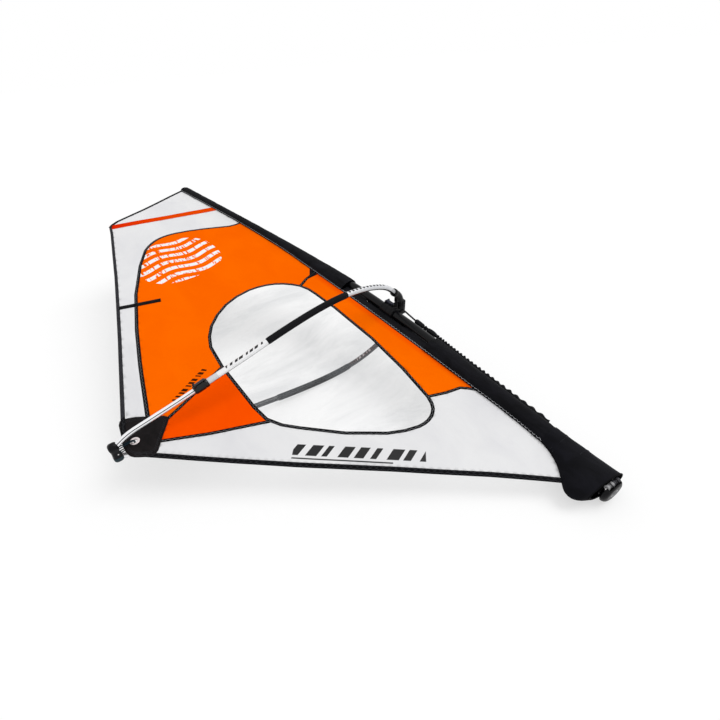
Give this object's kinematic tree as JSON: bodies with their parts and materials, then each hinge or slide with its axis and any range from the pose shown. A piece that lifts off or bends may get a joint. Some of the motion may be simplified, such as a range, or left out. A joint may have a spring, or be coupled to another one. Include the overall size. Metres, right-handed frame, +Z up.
{
  "type": "windsurf rig",
  "caption": "Windsurf rig lying flat: orange and white panelled sail with a clear window, sleeved mast, wishbone boom, uphaul and cup-ended mast foot.",
  "frame": {"origin": "centre of the bounding box at floor level, the rig lying as pictured", "axes": "+Z up, +X along the mast from the foot to the tip, +Y from the mast towards the boom's tail"},
  "size_m": [3.3262, 1.4357, 0.5762],
  "materials": {
    "mast_glass_fibre": "glass fibre tube, satin black",
    "sleeve_cloth": "woven polyester, matt black",
    "pad_cloth": "padded cloth, matt black",
    "seam_tape": "sewn tape, black",
    "white_sailcloth": "polyester sailcloth, white",
    "orange_sailcloth": "polyester sailcloth, orange",
    "batten_cloth": "batten pocket cloth, orange-red",
    "window_film": "clear film",
    "stainless_steel": "stainless",
    "aluminium": "polished",
    "white_tube": "coated tube, pale grey",
    "grip_foam": "closed-cell grip, black",
    "black_plastic": "moulded nylon, black",
    "grey_plastic": "moulded, grey",
    "black_rope": "rope and webbing, black",
    "dark_blue_rope": "rope, dark blue",
    "rubber_liner": "matt rubber"
  },
  "bodies": {
    "rig": {"mast_bottom_section": "mast_glass_fibre", "mast_top_section": "mast_glass_fibre", "mast_ferrule": "mast_glass_fibre", "mast_tip_plug": "black_plastic", "luff_sleeve_lower": "sleeve_cloth", "luff_sleeve_upper": "sleeve_cloth", "tack_pad": "pad_cloth", "cutout_strip": "sleeve_cloth", "head_panel": "white_sailcloth", "leech_panel": "white_sailcloth", "main_panel": "orange_sailcloth", "luff_panel": "orange_sailcloth", "window_panel": "window_film", "clew_panel": "orange_sailcloth", "foot_panel": "white_sailcloth", "head_tape": "seam_tape", "leech_tape": "seam_tape", "foot_tape": "seam_tape", "head_batten": "batten_cloth", "leech_batten": "seam_tape", "window_tape": "seam_tape", "leech_seam_tape": "seam_tape", "clew_seam_tape": "seam_tape", "foot_seam_tape": "seam_tape", "gusset_seam_tape": "seam_tape", "tack_seam_tape": "seam_tape", "clew_patch": "seam_tape", "clew_grommet": "stainless_steel", "foot_cup": "black_plastic", "socket_bush": "grey_plastic", "foot_tube": "stainless_steel", "roller_axle": "stainless_steel", "tack_block": "stainless_steel", "downhaul_line": "black_rope", "uphaul_rope": "black_rope", "uphaul_elastic": "black_rope"},
    "lock_lever_upper": {"lock_lever_upper": "black_plastic"},
    "lock_lever_lower": {"lock_lever_lower": "black_plastic"},
    "clamp": {"clamp_body": "black_plastic", "clamp_band": "black_plastic", "clamp_liner": "rubber_liner", "lever_pin": "stainless_steel"},
    "lever": {"clamp_lever": "black_plastic"},
    "boom": {"boom_yoke": "black_plastic", "fold_pin": "stainless_steel", "arm_tube_upper": "white_tube", "arm_tube_lower": "white_tube", "grip_upper": "grip_foam", "grip_lower": "grip_foam", "end_sleeve_upper": "black_plastic", "end_sleeve_lower": "black_plastic"},
    "tail": {"tail_leg_upper": "aluminium", "tail_leg_lower": "aluminium", "tail_fitting": "black_plastic", "tail_axle": "stainless_steel", "outhaul_line": "dark_blue_rope"},
    "tail_roller": {"tail_roller": "grey_plastic"},
    "foot_roller_front": {"foot_roller_front": "grey_plastic"},
    "foot_roller_rear": {"foot_roller_rear": "grey_plastic"},
    "release_button": {"release_button": "grey_plastic"}
  },
  "joints": [
    {"name": "boom_height", "type": "slide", "parent": "rig", "child": "clamp", "axis": [0.9877, -0.0242, 0.1543], "range_m": [-0.08, 0.08], "deforming": ["uphaul_rope", "uphaul_elastic", "outhaul_line"]},
    {"name": "clamp_lever_hinge", "type": "hinge", "parent": "clamp", "child": "lever", "pos_m": [-0.41515, -0.64094, 0.28228], "axis": [0.0316, 0.9985, -0.0456], "range_deg": [0, 100]},
    {"name": "boom_fold", "type": "hinge", "parent": "clamp", "child": "boom", "pos_m": [-0.44623, -0.66993, 0.24012], "axis": [-0.153, 0.0499, 0.987], "range_deg": [-25, 70], "deforming": ["outhaul_line"]},
    {"name": "tail_slide", "type": "slide", "parent": "boom", "child": "tail", "axis": [0.0076, 0.9988, -0.0493], "range_m": [0, 0.12], "deforming": ["tail_leg_upper", "tail_leg_lower", "outhaul_line"]},
    {"name": "tail_roller_spin", "type": "hinge", "parent": "tail", "child": "tail_roller", "pos_m": [-0.43579, 0.69411, 0.17278], "axis": [0.9882, 0, 0.1532], "continuous": true},
    {"name": "lock_lever_upper_hinge", "type": "hinge", "parent": "boom", "child": "lock_lever_upper", "pos_m": [-0.45712, 0.37314, 0.31038], "axis": [-0.9882, 0, -0.1532], "range_deg": [0, 95]},
    {"name": "lock_lever_lower_hinge", "type": "hinge", "parent": "boom", "child": "lock_lever_lower", "pos_m": [-0.41947, 0.36085, 0.06747], "axis": [0.9882, 0, 0.1532], "range_deg": [0, 95]},
    {"name": "foot_roller_front_spin", "type": "hinge", "parent": "rig", "child": "foot_roller_front", "pos_m": [-1.64425, -0.52245, 0.07738], "axis": [0.1279, 0.9913, -0.0303], "continuous": true},
    {"name": "foot_roller_rear_spin", "type": "hinge", "parent": "rig", "child": "foot_roller_rear", "pos_m": [-1.64033, -0.49212, 0.07646], "axis": [0.1279, 0.9913, -0.0303], "continuous": true},
    {"name": "release_button_press", "type": "slide", "parent": "rig", "child": "release_button", "axis": [0.1279, 0.9913, -0.0303], "range_m": [0, 0.003], "stiffness_N_per_m": 300, "springref_m": -0.003}
  ]
}
